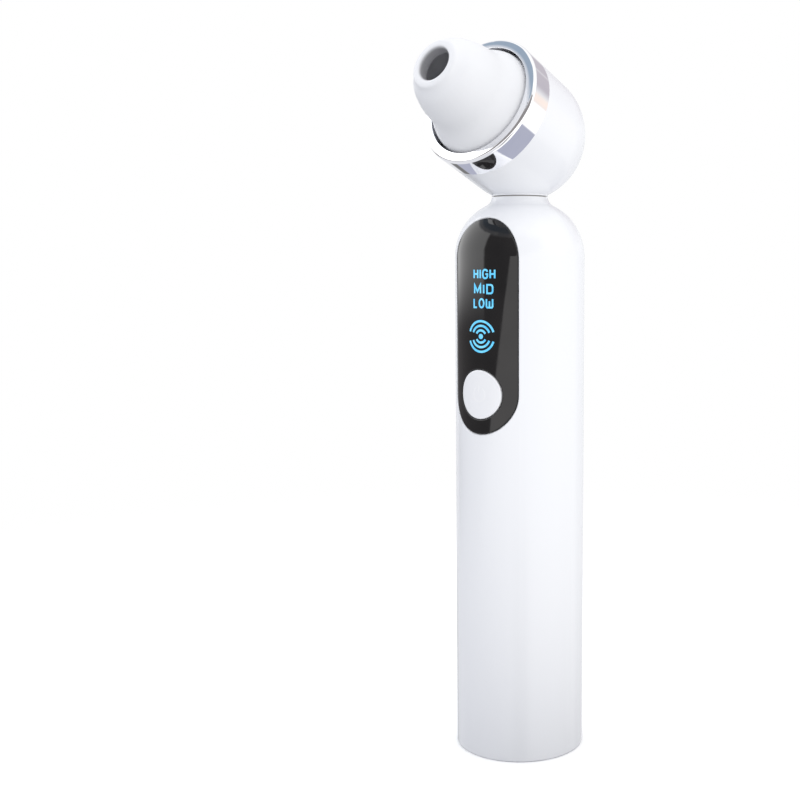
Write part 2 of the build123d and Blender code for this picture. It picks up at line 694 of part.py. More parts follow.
with BuildPart() as valve_flaps:
    with BuildSketch(at(VALVE_PLATE[1], PUMP_Y)):
        with PolarLocations(CUP_CIRCLE_R, 3, start_angle=90):
            Circle(1.7)
    extrude(amount=0.4)
save(valve_flaps, "valve_flaps")

with BuildPart() as pump_cover:
    disc(at(PUMP_COVER[0], PUMP_Y), PUMP_R, PUMP_COVER[1] - PUMP_COVER[0])
    fillet(pump_cover.edges().group_by(Axis.Z)[-1], 0.6)
    disc(at(PUMP_COVER[1]), NIPPLE_R, NIPPLE_TOP - PUMP_COVER[1])
    disc(at(PUMP_COVER[1], OUTLET_Y), 1.5, 3.5)
    with BuildSketch(at(PUMP_COVER[0], PUMP_Y)):
        Circle(CHAMBER_R)
    extrude(amount=1.6, mode=Mode.SUBTRACT)
    with BuildSketch(at(PUMP_COVER[0])):
        with Locations((0, 0), (0, OUTLET_Y)):
            Circle(0.9)
    extrude(amount=20, mode=Mode.SUBTRACT)
    with BuildSketch(at(PUMP_COVER[0], PUMP_Y)):
        with Locations(*PUMP_SCREW_SPOTS):
            Circle(PUMP_HOLE_R)
    extrude(amount=5, mode=Mode.SUBTRACT)
save(pump_cover, "pump_cover")

with BuildPart() as pump_screws:
    for x, y in PUMP_SCREW_SPOTS:
        disc(at(PUMP_SCREW_Z, PUMP_Y + y, x), PUMP_SCREW_CORE_R, PUMP_COVER[1] - PUMP_SCREW_Z)
        disc(at(PUMP_COVER[1], PUMP_Y + y, x), 1.3, 0.9)
save(pump_screws, "pump_screws")

with BuildPart() as exhaust_muffler:
    disc(at(HOSE_Z, OUTLET_Y), 2.7, 7.0)
    with BuildSketch(at(HOSE_Z, OUTLET_Y)):
        Circle(1.5)
    extrude(amount=3.0, mode=Mode.SUBTRACT)
    fillet(exhaust_muffler.edges().group_by(Axis.Z)[-1], 0.5)
save(exhaust_muffler, "exhaust_muffler")

with BuildPart() as suction_hose:
    disc(at(HOSE_Z), 2.8, 16.6, NIPPLE_R)
save(suction_hose, "suction_hose")

# ---------------------------------------------------------------- neck swivel
FLANGE_Z = NECK_SEAT_Z - 1.4
with BuildPart() as swivel_bushing:
    disc(at(FLANGE_Z), 7.8, NECK_SEAT_Z - FLANGE_Z)
    disc(at(NECK_SEAT_Z), NECK_BORE_R, NECK_Z - NECK_SEAT_Z)
    disc(at(NECK_Z), SPIGOT_R, SPIGOT_TOP - NECK_Z)
    chamfer(swivel_bushing.edges().group_by(Axis.Z)[-1], 0.3)
    with BuildSketch(at(CLIP[0])):
        Circle(SPIGOT_R + 1)
        Circle(CLIP_GROOVE_R, mode=Mode.SUBTRACT)
    extrude(amount=CLIP[1] - CLIP[0], mode=Mode.SUBTRACT)
    with BuildSketch(at(FLANGE_Z)):
        Circle(SPIGOT_BORE_R)
    extrude(amount=30, mode=Mode.SUBTRACT)
save(swivel_bushing, "swivel_bushing")

with BuildPart() as rotary_nipple:
    with BuildSketch(Plane.XZ):
        with BuildLine():
            Polyline((1.0, 122.5), (1.5, 122.5), (NIPPLE_R, 123.4), (NIPPLE_R, 129.8),
                     (SPIGOT_BORE_R, 129.8), (SPIGOT_BORE_R, 141.0), (NIPPLE_R, 142.0),
                     (NIPPLE_R, TUBE_TOP - 0.5), (NIPPLE_R - 0.4, TUBE_TOP), (1.0, TUBE_TOP),
                     close=True)
        make_face()
    revolve(axis=Axis.Z)
save(rotary_nipple, "rotary_nipple")

with BuildPart() as swivel_washer:
    disc(at(NECK_Z), NECK_R - 0.5, WASHER_TOP - NECK_Z, SPIGOT_R + 0.02)
save(swivel_washer, "swivel_washer")

with BuildPart() as swivel_clip:
    disc(at(CLIP[0]), 6.2, CLIP[1] - CLIP[0], CLIP_GROOVE_R + 0.02)
    with Locations((0, 5, (CLIP[0] + CLIP[1]) / 2)):
        Box(5.0, 10, 2, mode=Mode.SUBTRACT)
save(swivel_clip, "swivel_clip")

# ---------------------------------------------------------------- head
HEAD_INNER_R = HEAD_R - HEAD_WALL
with BuildPart() as head_housing:
    with BuildSketch(HEAD_SECTION):
        with BuildLine():
            Line((0, -HEAD_R), (0, RING_S[0]))
            Line((0, RING_S[0]), (HEAD_R, RING_S[0]))
            Line((HEAD_R, RING_S[0]), (HEAD_R, 0))
            RadiusArc((HEAD_R, 0), (0, -HEAD_R), HEAD_R)
        make_face()
    revolve(axis=HEAD_AXIS)
    disc(HEAD_PLANE.offset(RING_S[0]), RING_SPIGOT_R, LIP_S - RING_S[0])
    with BuildSketch(HEAD_SECTION):
        with BuildLine():
            Line((0, -HEAD_INNER_R), (0, RING_S[1]))
            Line((0, RING_S[1]), (HEAD_INNER_R, RING_S[1]))
            Line((HEAD_INNER_R, RING_S[1]), (HEAD_INNER_R, 0))
            RadiusArc((HEAD_INNER_R, 0), (0, -HEAD_INNER_R), HEAD_INNER_R)
        make_face()
    revolve(axis=HEAD_AXIS, mode=Mode.SUBTRACT)
    # Three bosses for the seat screws
    with BuildSketch(HEAD_PLANE.offset(SEAT_BOSS_S)):
        with PolarLocations(SEAT_SCREW_R, 3, start_angle=90):
            Circle(SEAT_BOSS_R)
    extrude(amount=SEAT_S[0] - SEAT_BOSS_S)
    with BuildSketch(HEAD_PLANE.offset(SEAT_BOSS_S)):
        with PolarLocations(SEAT_SCREW_R, 3, start_angle=90):
            Circle(SEAT_SCREW_CORE_R)
    extrude(amount=30, mode=Mode.SUBTRACT)
    # Swivel boss in the floor of the head, cut square at the neck
    disc(at(HEAD_CUT_Z - 2), NECK_R, HEAD_BOSS_TOP - HEAD_CUT_Z + 2)
    with BuildSketch(at(HEAD_CUT_Z)):
        Circle(40)
    extrude(amount=-20, mode=Mode.SUBTRACT)
    with BuildSketch(at(HEAD_CUT_Z)):
        Circle(SPIGOT_R + 0.05)
    extrude(amount=HEAD_BOSS_TOP - HEAD_CUT_Z, mode=Mode.SUBTRACT)
save(head_housing, "head_housing")

with BuildPart() as chrome_ring:
    # Crowned front: level at its inner edge, falling away towards the outside
    crown_inner = (RING_LIP_R + RING_CROWN, RING_S[1] + RING_CROWN)
    crown_outer = (RING_EDGE_R, RING_S[1])
    outer_edge = (HEAD_R, crown_outer[1] - RING_EDGE)
    with BuildSketch(HEAD_SECTION):
        with BuildLine():
            Polyline(outer_edge, (HEAD_R, RING_S[0]), (RING_SPIGOT_R, RING_S[0]), (RING_SPIGOT_R, LIP_S),
                     (RING_LIP_R, LIP_S), (RING_LIP_R, RING_S[1]))
            TangentArc((RING_LIP_R, RING_S[1]), crown_inner, tangent=(0, 1))
            crown = TangentArc(crown_inner, crown_outer, tangent=(1, 0))
            TangentArc(crown_outer, outer_edge, tangent=crown % 1)
        make_face()
    revolve(axis=HEAD_AXIS)
save(chrome_ring, "chrome_ring")

BARB_S = 3.9
RECESS_S = 13.2
FILTER_R = 8.0
with BuildPart() as nozzle_seat:
    disc(HEAD_PLANE.offset(SEAT_S[0]), SEAT_R, SEAT_S[1] - SEAT_S[0])
    disc(HEAD_PLANE.offset(SEAT_S[1]), SEAT_SPIGOT_R, SEAT_TOP - SEAT_S[1])
    disc(HEAD_PLANE.offset(BARB_S), HOSE_BORE_R, SEAT_S[0] - BARB_S)
    disc(HEAD_PLANE.offset(SEAT_S[0] - 1.2), 4.2, 1.2)
    with BuildSketch(HEAD_PLANE.offset(RECESS_S)):
        Circle(FILTER_R)
    extrude(amount=10, mode=Mode.SUBTRACT)
    with BuildSketch(HEAD_PLANE.offset(BARB_S)):
        Circle(1.2)
    extrude(amount=20, mode=Mode.SUBTRACT)
    # Groove for the tip seal
    with BuildSketch(HEAD_SECTION):
        with Locations((SEAT_SPIGOT_R, SEAL_S)):
            Circle(SEAL_CORD_R)
    revolve(axis=HEAD_AXIS, mode=Mode.SUBTRACT)
    # Sunk screw seats in the flange
    with BuildSketch(HEAD_PLANE.offset(SEAT_S[1] - SEAT_SCREW_SINK)):
        with PolarLocations(SEAT_SCREW_R, 3, start_angle=90):
            Circle(1.25)
    extrude(amount=SEAT_SCREW_SINK, mode=Mode.SUBTRACT)
    with BuildSketch(HEAD_PLANE.offset(SEAT_S[0])):
        with PolarLocations(SEAT_SCREW_R, 3, start_angle=90):
            Circle(0.8)
    extrude(amount=2.2, mode=Mode.SUBTRACT)
save(nozzle_seat, "nozzle_seat")

with BuildPart() as seat_screws:
    sink_s = SEAT_S[1] - SEAT_SCREW_SINK
    for plane_s, radius, length in ((sink_s, 1.2, 1.0),
                                    (SEAT_SCREW_S, SEAT_SCREW_CORE_R, sink_s - SEAT_SCREW_S)):
        with BuildSketch(HEAD_PLANE.offset(plane_s)):
            with PolarLocations(SEAT_SCREW_R, 3, start_angle=90):
                Circle(radius)
        extrude(amount=length)
save(seat_screws, "seat_screws")

with BuildPart() as tip_seal:
    with BuildSketch(HEAD_SECTION):
        with Locations((SEAT_SPIGOT_R, SEAL_S)):
            Circle(SEAL_CORD_R)
    revolve(axis=HEAD_AXIS)
save(tip_seal, "tip_seal")

with BuildPart() as filter_sponge:
    disc(HEAD_PLANE.offset(RECESS_S), FILTER_R - 0.1, 1.4)
save(filter_sponge, "filter_sponge")

with BuildPart() as filter_cap:
    disc(HEAD_PLANE.offset(RECESS_S + 1.4), FILTER_R - 0.02, 0.9)
    with BuildSketch(HEAD_PLANE.offset(RECESS_S + 1.4)):
        with PolarLocations(4.2, 8):
            SlotOverall(4.6, 1.2)
    extrude(amount=2, mode=Mode.SUBTRACT)
save(filter_cap, "filter_cap")

HOSE_END_Z = 144.6
with BuildPart() as head_hose:
    with BuildLine() as hose_route:
        FilletPolyline(head_point(SEAT_S[0] - 1.25), HEAD_ORIGIN, (0, 0, HOSE_END_Z), radius=5.5)
    with BuildSketch(Plane(origin=hose_route.line @ 0, z_dir=hose_route.line % 0)):
        Circle(HOSE_R)
        Circle(HOSE_BORE_R, mode=Mode.SUBTRACT)
    sweep()
save(head_hose, "head_hose")

# ---------------------------------------------------------------- suction tip
# Outline of the bell as radius and distance along the barrel
TIP_OUTLINE = [(TIP_R, 15.2), (12.7, 17.9), (11.3, 20.6), (10.6, 22.6), (10.3, 24.6),
               (9.8, 27.0), (9.0, 29.4), (7.7, 31.7), (6.25, 33.35), (MOUTH_R + MOUTH_EDGE, TIP_S1)]
with BuildPart() as suction_tip:
    throat_s = TIP_S1 - MOUTH_DEPTH
    inner_outline = [(r - TIP_WALL, s - 0.25) for r, s in TIP_OUTLINE[:-3]]
    with BuildSketch(HEAD_SECTION):
        with BuildLine():
            outer = Spline(*TIP_OUTLINE, tangents=[(0, 1), (-1, 0.1)])
            lip = RadiusArc(TIP_OUTLINE[-1], (MOUTH_R, TIP_S1 - MOUTH_EDGE), -MOUTH_EDGE)
            Line(lip @ 1, (MOUTH_R, throat_s))
            Line((MOUTH_R, throat_s), (THROAT_R, throat_s - MOUTH_EDGE))
            inner = Spline(*inner_outline, (THROAT_R, throat_s - MOUTH_EDGE), tangents=[(0, 1), (-1, 0.6)])
            Line(inner @ 0, (TIP_R - TIP_WALL, TIP_S0))
            Line((TIP_R - TIP_WALL, TIP_S0), (TIP_R, TIP_S0))
            Line((TIP_R, TIP_S0), outer @ 0)
        make_face()
    revolve(axis=HEAD_AXIS)
save(suction_tip, "suction_tip")
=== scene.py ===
import json
import math

import bmesh
import bpy
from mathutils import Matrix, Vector


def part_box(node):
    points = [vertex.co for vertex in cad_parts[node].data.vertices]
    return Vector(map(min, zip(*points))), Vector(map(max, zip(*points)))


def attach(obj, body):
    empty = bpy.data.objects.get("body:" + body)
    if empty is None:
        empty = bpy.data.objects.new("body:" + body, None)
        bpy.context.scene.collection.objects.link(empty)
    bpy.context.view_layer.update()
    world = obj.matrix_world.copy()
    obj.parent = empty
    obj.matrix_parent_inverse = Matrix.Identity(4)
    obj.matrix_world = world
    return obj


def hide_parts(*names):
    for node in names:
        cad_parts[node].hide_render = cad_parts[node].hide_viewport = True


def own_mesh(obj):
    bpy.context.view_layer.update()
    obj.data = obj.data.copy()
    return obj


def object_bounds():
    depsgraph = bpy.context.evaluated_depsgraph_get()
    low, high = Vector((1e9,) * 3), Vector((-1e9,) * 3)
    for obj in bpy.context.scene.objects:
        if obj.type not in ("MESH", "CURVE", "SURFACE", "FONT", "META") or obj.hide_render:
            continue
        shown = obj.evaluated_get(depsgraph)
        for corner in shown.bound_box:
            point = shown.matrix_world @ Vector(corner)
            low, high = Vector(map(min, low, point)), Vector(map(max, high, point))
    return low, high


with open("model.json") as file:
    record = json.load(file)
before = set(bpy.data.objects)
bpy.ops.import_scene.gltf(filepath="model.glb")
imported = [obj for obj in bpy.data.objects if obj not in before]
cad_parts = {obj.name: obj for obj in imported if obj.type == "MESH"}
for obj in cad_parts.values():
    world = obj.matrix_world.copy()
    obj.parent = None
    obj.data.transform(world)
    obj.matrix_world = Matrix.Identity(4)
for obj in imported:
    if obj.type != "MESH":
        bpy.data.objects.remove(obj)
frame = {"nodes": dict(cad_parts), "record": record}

CAD_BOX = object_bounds()
NODES = frame["nodes"]
MM = 0.001

# Camera: a close, slightly downward look at the right of the display side
CAMERA_AZIMUTH = math.radians(37.6)
CAMERA_DISTANCE = 0.2982            # level distance from the handle's axis
CAMERA_HEIGHT = 0.1201
CAMERA_PITCH = math.radians(6.216)  # downwards
FOCAL_TO_WIDTH = 1198 / 800
SHIFT_X = -0.1497                   # the handle's axis stands right of the frame's middle

# The tip's mouth, from its mount in the record
MOUTH = next(m for m in frame["record"]["mounts"] if m["name"] == "suction_mouth")
HEAD_AXIS = tuple(MOUTH["axis"])
HEAD_CENTRE = tuple(MOUTH["pos_m"])
MOUTH_R = MOUTH["dims"]["r_mm"] * MM
# The wall inside the tip's mouth is darkened with painted shade; the band below is where that shade fades in
RIM_OUTSIDE, RIM_INSIDE = 0.5 * MM, 0.1 * MM    # the band over which its wall darkens


# ---------------------------------------------------------------- node graph helpers
class Graph:
    """A short way to write a shader's nodes."""

    def __init__(self, tree):
        self.tree = tree

    def add(self, kind, **settings):
        node = self.tree.nodes.new(kind)
        for key, value in settings.items():
            setattr(node, key, value)
        return node

    def join(self, source, target):
        if hasattr(source, "is_output"):
            self.tree.links.new(source, target)
        else:
            target.default_value = source

    def math(self, operation, a, b=0.0):
        node = self.add("ShaderNodeMath", operation=operation)
        self.join(a, node.inputs[0])
        self.join(b, node.inputs[1])
        return node.outputs[0]

    def remap(self, value, low, high, to_low=0.0, to_high=1.0, smooth=True):
        node = self.add("ShaderNodeMapRange", interpolation_type="SMOOTHSTEP" if smooth else "LINEAR")
        for key, item in (("Value", value), ("From Min", low), ("From Max", high),
                          ("To Min", to_low), ("To Max", to_high)):
            self.join(item, node.inputs[key])
        return node.outputs["Result"]

    def band(self, value, low, high, soft):
        """1 between low and high, fading over soft on each side; low and high may be sockets."""
        rise = self.remap(self.math("SUBTRACT", value, low), -soft, soft)
        fall = self.remap(self.math("SUBTRACT", value, high), -soft, soft)
        return self.math("MULTIPLY", rise, self.math("SUBTRACT", 1.0, fall))

    def mix(self, factor, a, b):
        node = self.add("ShaderNodeMix", data_type="RGBA")
        self.join(factor, node.inputs["Factor"])
        for item, socket in ((a, node.inputs[6]), (b, node.inputs[7])):
            self.join(item if hasattr(item, "is_output") else (*item, 1.0), socket)
        return node.outputs[2]

    def place(self, stretch=(1, 1, 1)):
        """Object coordinates in metres, stretched along the axes."""
        where = self.add("ShaderNodeTexCoord").outputs["Object"]
        if stretch == (1, 1, 1):
            return where
        node = self.add("ShaderNodeMapping")
        self.join(where, node.inputs["Vector"])
        node.inputs["Scale"].default_value = stretch
        return node.outputs["Vector"]

    def noise(self, size_mm, detail=2.0, stretch=(1, 1, 1), rough=0.5):
        node = self.add("ShaderNodeTexNoise")
        self.join(self.place(stretch), node.inputs["Vector"])
        node.inputs["Scale"].default_value = 1000.0 / size_mm
        node.inputs["Detail"].default_value = detail
        node.inputs["Roughness"].default_value = rough
        return node.outputs["Fac"]

    def cells(self, size_mm):
        node = self.add("ShaderNodeTexVoronoi", feature="F1")
        self.join(self.place(), node.inputs["Vector"])
        node.inputs["Scale"].default_value = 1000.0 / size_mm
        return node.outputs["Distance"]

    def angle(self):
        """Angle round the vertical axis, in turns."""
        split = self.add("ShaderNodeSeparateXYZ")
        self.join(self.place(), split.inputs[0])
        turn = self.math("ARCTAN2", split.outputs[1], split.outputs[0])
        return self.math("DIVIDE", turn, 2 * math.pi)

    def height(self):
        split = self.add("ShaderNodeSeparateXYZ")
        self.join(self.place(), split.inputs[0])
        return split.outputs[2]

    def mouth_shade_mask(self):
        """Mask of the painted shade inside the tip's mouth: 1 on the wall inside the mouth, 0 from the rim
        outwards.
        """
        out = self.add("ShaderNodeVectorMath", operation="SUBTRACT")
        self.join(self.place(), out.inputs[0])
        out.inputs[1].default_value = HEAD_CENTRE
        off = self.add("ShaderNodeVectorMath", operation="CROSS_PRODUCT")
        self.join(out.outputs[0], off.inputs[0])
        off.inputs[1].default_value = HEAD_AXIS
        length = self.add("ShaderNodeVectorMath", operation="LENGTH")
        self.join(off.outputs[0], length.inputs[0])
        return self.remap(length.outputs["Value"], MOUTH_R + RIM_OUTSIDE, MOUTH_R - RIM_INSIDE)

    def wave(self, value, repeats):
        """A soft 0 to 1 ripple along value."""
        ripple = self.math("SINE", self.math("MULTIPLY", value, repeats * 2 * math.pi))
        return self.math("ADD", self.math("MULTIPLY", ripple, 0.5), 0.5)


def start(name):
    material = bpy.data.materials.new(name)
    material.use_nodes = True
    graph = Graph(material.node_tree)
    return material, graph, material.node_tree.nodes["Principled BSDF"]


def relief(graph, shader, height, depth_mm, strength=1.0, coat=False):
    bump = graph.add("ShaderNodeBump")
    bump.inputs["Strength"].default_value = strength
    bump.inputs["Distance"].default_value = depth_mm * MM
    graph.join(height, bump.inputs["Height"])
    graph.join(bump.outputs["Normal"], shader.inputs["Normal"])
    if coat:
        graph.join(bump.outputs["Normal"], shader.inputs["Coat Normal"])


# ---------------------------------------------------------------- materials
def plastic(name, base, shade, rough, grain_mm, depth_mm, coat=0.0, cloud_mm=14.0, scatter=0.0, swing=0.06,
            painted_mouth_shade=None):
    """Moulded plastic: slow tone drift, uneven gloss and a fine spark-eroded or lacquered skin.
    Its last argument is a painted shade: a darker tone on the wall inside the tip's mouth, standing in for
    the shade in the bore."""
    material, g, shader = start(name)
    tone = g.remap(g.noise(cloud_mm, 3.0), 0.3, 0.7)
    colour = g.mix(tone, base, shade)
    # Painted shade: a darker tone on the wall inside the tip's mouth, where the bore is in shade
    if painted_mouth_shade:
        colour = g.mix(g.mouth_shade_mask(), colour, painted_mouth_shade)
    g.join(colour, shader.inputs["Base Color"])
    handled = g.noise(5.0, 4.0, rough=0.6)
    g.join(g.remap(handled, 0.25, 0.75, rough - swing, rough + swing), shader.inputs["Roughness"])
    relief(g, shader, g.noise(grain_mm, 2.0), depth_mm, 0.6)
    shader.inputs["IOR"].default_value = 1.5
    shader.inputs["Coat Weight"].default_value = coat
    shader.inputs["Coat Roughness"].default_value = 0.1
    if scatter:
        shader.inputs["Subsurface Weight"].default_value = scatter
        shader.inputs["Subsurface Radius"].default_value = (1.0, 0.9, 0.85)
        shader.inputs["Subsurface Scale"].default_value = 0.6 * MM
    return material


def metal(name, base, shade, rough, stretch=(1, 1, 18), depth_mm=0.004, swing=0.08):
    """Drawn or ground metal with fine scratches along one direction and faint tarnish."""
    material, g, shader = start(name)
    scratches = g.noise(0.5, 3.0, stretch)
    tarnish = g.remap(g.noise(3.0, 4.0), 0.35, 0.75)
    g.join(g.mix(tarnish, base, shade), shader.inputs["Base Color"])
    g.join(g.remap(scratches, 0.3, 0.7, rough - swing, rough + swing), shader.inputs["Roughness"])
    relief(g, shader, scratches, depth_mm, 0.5)
    shader.inputs["Metallic"].default_value = 1.0
    return material


def ringed(name, base, shade, rough, repeats, along="height", metallic=1.0):
    """Bands along the height, as laminations or turning marks, or round the axis, as segments."""
    material, g, shader = start(name)
    ripple = g.wave(g.height() if along == "height" else g.angle(), repeats)
    line = g.remap(ripple, 0.02, 0.2)
    g.join(g.mix(line, shade, base), shader.inputs["Base Color"])
    g.join(g.remap(g.noise(0.8, 3.0), 0.3, 0.7, rough - 0.06, rough + 0.08), shader.inputs["Roughness"])
    relief(g, shader, line, 0.05, 0.7)
    shader.inputs["Metallic"].default_value = metallic
    return material


def foam(name, base, shade, cell_mm):
    material, g, shader = start(name)
    cell = g.cells(cell_mm)
    g.join(g.mix(g.remap(cell, 0.1, 0.6), shade, base), shader.inputs["Base Color"])
    g.join(g.remap(g.noise(2.0, 2.0), 0.3, 0.7, 0.82, 0.95), shader.inputs["Roughness"])
    relief(g, shader, cell, cell_mm * 0.4, 0.9)
    return material


def rubber(name, base, shade, rough, sheen=0.15, clear=0.0):
    material, g, shader = start(name)
    g.join(g.mix(g.remap(g.noise(3.0, 4.0), 0.3, 0.7), base, shade), shader.inputs["Base Color"])
    g.join(g.remap(g.noise(1.2, 3.0), 0.3, 0.7, rough - 0.07, rough + 0.07), shader.inputs["Roughness"])
    relief(g, shader, g.noise(0.25, 2.0), 0.01, 0.5)
    shader.inputs["Sheen Weight"].default_value = sheen
    shader.inputs["Transmission Weight"].default_value = clear
    shader.inputs["IOR"].default_value = 1.42
    return material


def board(name, mask, copper_tone):
    """Solder mask over raised copper: square runs of track and small plated dots."""
    material, g, shader = start(name)
    brick = g.add("ShaderNodeTexBrick")
    g.join(g.place(), brick.inputs["Vector"])
    brick.inputs["Scale"].default_value = 420.0
    brick.inputs["Mortar Size"].default_value = 0.03
    track = brick.outputs["Fac"]
    dots = g.math("SUBTRACT", 1.0, g.remap(g.cells(2.4), 0.06, 0.1))
    under = g.mix(track, mask, tuple(min(1.0, c * 1.8 + 0.01) for c in mask))
    g.join(g.mix(dots, under, copper_tone), shader.inputs["Base Color"])
    g.join(g.remap(g.noise(1.5, 2.0), 0.3, 0.7, 0.26, 0.4), shader.inputs["Roughness"])
    relief(g, shader, g.math("MAXIMUM", track, dots), 0.03, 0.6)
    return material


def chrome(name):
    """Mirror plating over a polished moulding, with the faint waviness such plating has."""
    material, g, shader = start(name)
    g.join(g.mix(g.remap(g.noise(6.0, 2.0), 0.3, 0.7), (0.95, 0.95, 0.965), (0.91, 0.915, 0.94)),
           shader.inputs["Base Color"])
    g.join(g.remap(g.noise(2.5, 4.0), 0.35, 0.75, 0.012, 0.05), shader.inputs["Roughness"])
    relief(g, shader, g.noise(9.0, 1.0), 0.004, 0.25)
    shader.inputs["Metallic"].default_value = 1.0
    return material


def smoked(name):
    """Glossy smoked acrylic: near black, with depth drift and traces of handling."""
    material, g, shader = start(name)
    g.join(g.mix(g.remap(g.noise(11.0, 3.0), 0.3, 0.7), (0.0075, 0.0072, 0.0080), (0.012, 0.0112, 0.0118)),
           shader.inputs["Base Color"])
    g.join(g.remap(g.noise(4.0, 5.0, rough=0.65), 0.35, 0.8, 0.025, 0.07), shader.inputs["Roughness"])
    relief(g, shader, g.noise(7.0, 1.0), 0.002, 0.2)
    shader.inputs["IOR"].default_value = 1.49
    return material


def lit(name, hue, pale, strength):
    """A lit legend: brighter where the light guide's LEDs stand behind it."""
    material, g, shader = start(name)
    glow = g.remap(g.noise(1.6, 2.0), 0.3, 0.7)
    tone = g.mix(glow, hue, pale)
    g.join(tone, shader.inputs["Emission Color"])
    g.join(g.mix(glow, (0.01, 0.04, 0.06), (0.02, 0.06, 0.09)), shader.inputs["Base Color"])
    g.join(g.remap(g.noise(0.8, 2.0), 0.3, 0.7, 0.2, 0.35), shader.inputs["Roughness"])
    relief(g, shader, g.noise(0.3, 1.0), 0.002, 0.3)
    shader.inputs["Emission Strength"].default_value = strength
    return material


WHITE, COOL = (0.855, 0.864, 0.893), (0.85, 0.86, 0.89)
# After its two tones, a plastic has its roughness and the size and depth of its grain in mm
MATERIALS = {
    # This gloss stays clear of 0.274, where small changes in it show as sharp patches in the render
    "body_white": plastic("satin_white_abs", WHITE, COOL, 0.262, 0.5, 0.0003, coat=0.3, cloud_mm=30.0,
                          swing=0.008),
    "cap_white": plastic("textured_white_abs", (0.82, 0.825, 0.85), (0.79, 0.8, 0.83), 0.5, 0.35, 0.012),
    # The tip's wall inside its mouth carries a painted shade, the grey given last
    "tip_white": plastic("soft_white_tip", (0.8, 0.806, 0.832), (0.79, 0.797, 0.824), 0.46, 0.28, 0.003,
                         swing=0.03, painted_mouth_shade=(0.36, 0.36, 0.38)),
    "button_white": plastic("white_button", (0.86, 0.866, 0.892), (0.855, 0.861, 0.888), 0.3, 0.5, 0.0004,
                            coat=0.25, swing=0.01),
    "seat_white": plastic("white_seat", (0.78, 0.78, 0.8), (0.74, 0.74, 0.77), 0.48, 0.4, 0.01),
    "guide_white": plastic("milky_guide", (0.82, 0.84, 0.87), (0.76, 0.79, 0.84), 0.22, 0.8, 0.003,
                           scatter=0.3),
    "motor_plastic": plastic("nylon_cap", (0.82, 0.8, 0.75), (0.76, 0.74, 0.68), 0.42, 0.4, 0.01,
                             scatter=0.1),
    "bushing_acetal": plastic("acetal", (0.8, 0.8, 0.79), (0.75, 0.75, 0.74), 0.34, 0.5, 0.006, scatter=0.1),
    "chassis_abs": plastic("black_chassis", (0.15, 0.15, 0.16), (0.12, 0.12, 0.13), 0.5, 0.3, 0.015),
    "component_black": plastic("epoxy_package", (0.045, 0.045, 0.05), (0.065, 0.065, 0.07), 0.55, 0.25, 0.01),
    "plunger_abs": plastic("plunger_plastic", (0.09, 0.09, 0.09), (0.12, 0.12, 0.12), 0.42, 0.3, 0.006),
    "pump_plastic": plastic("glass_filled_nylon", (0.19, 0.2, 0.22), (0.25, 0.26, 0.28), 0.55, 0.2, 0.02,
                            cloud_mm=1.2),
    "washer_dark": plastic("grey_acetal_washer", (0.5, 0.47, 0.44), (0.42, 0.4, 0.38), 0.45, 0.4, 0.006),
    "film_dark": plastic("mask_film", (0.028, 0.028, 0.032), (0.04, 0.04, 0.045), 0.35, 0.5, 0.003),
    "cell_sleeve": plastic("shrink_sleeve", (0.12, 0.28, 0.52), (0.09, 0.23, 0.46), 0.24, 1.6, 0.02),
    "magnet": plastic("ferrite", (0.11, 0.11, 0.12), (0.16, 0.15, 0.15), 0.62, 0.3, 0.03, cloud_mm=1.0),
    "flex_amber": plastic("polyimide_flex", (0.7, 0.36, 0.07), (0.58, 0.27, 0.05), 0.28, 1.0, 0.006,
                           scatter=0.1),
    "window_black": smoked("smoked_window"),
    "ring_chrome": chrome("chrome_plating"),
    "screw_steel": metal("screw_nickel", (0.62, 0.62, 0.64), (0.5, 0.49, 0.48), 0.3),
    "nickel": metal("nickel_strip", (0.72, 0.7, 0.66), (0.6, 0.57, 0.52), 0.32),
    "socket_steel": metal("stamped_shell", (0.7, 0.7, 0.72), (0.6, 0.6, 0.62), 0.26),
    "motor_steel": metal("drawn_can", (0.6, 0.6, 0.62), (0.5, 0.49, 0.48), 0.34),
    "shaft_steel": metal("ground_shaft", (0.66, 0.66, 0.68), (0.58, 0.58, 0.6), 0.2, stretch=(1, 1, 30)),
    "spring_steel": metal("blued_spring", (0.36, 0.37, 0.42), (0.26, 0.26, 0.32), 0.3),
    "bronze": metal("sintered_bronze", (0.62, 0.42, 0.2), (0.48, 0.31, 0.14), 0.42, stretch=(1, 1, 1),
                    depth_mm=0.02),
    "brass_eccentric": ringed("turned_brass", (0.75, 0.58, 0.28), (0.62, 0.46, 0.2), 0.26, 3200.0),
    "armature_steel": ringed("laminated_core", (0.36, 0.34, 0.33), (0.16, 0.15, 0.15), 0.42, 2000.0),
    "copper": ringed("commutator_bars", (0.74, 0.4, 0.24), (0.1, 0.07, 0.05), 0.3, 5.0, along="angle"),
    "foam_black": foam("closed_cell_foam", (0.05, 0.05, 0.052), (0.02, 0.02, 0.022), 0.35),
    "foam_grey": foam("open_cell_foam", (0.46, 0.46, 0.48), (0.16, 0.16, 0.17), 0.7),
    "silicone": rubber("silicone", (0.8, 0.81, 0.82), (0.74, 0.75, 0.77), 0.4, clear=0.25),
    "rubber_black": rubber("black_rubber", (0.045, 0.045, 0.047), (0.07, 0.07, 0.07), 0.6),
    "wire_red": rubber("red_insulation", (0.58, 0.045, 0.035), (0.46, 0.03, 0.025), 0.42, 0.05),
    "wire_black": rubber("black_insulation", (0.035, 0.035, 0.037), (0.055, 0.055, 0.055), 0.42, 0.05),
    "board_green": board("solder_mask", (0.03, 0.19, 0.08), (0.72, 0.62, 0.36)),
    "led_blue": lit("lit_legend", (0.085, 0.56, 1.0), (0.2, 0.7, 1.0), 1.05),
}

for subpart in frame["record"]["subparts"]:
    node = NODES[subpart["node"]]
    material = MATERIALS[subpart["material_slot"]]
    if node.material_slots:
        for item in node.material_slots:
            item.material = material
    else:
        node.data.materials.append(material)

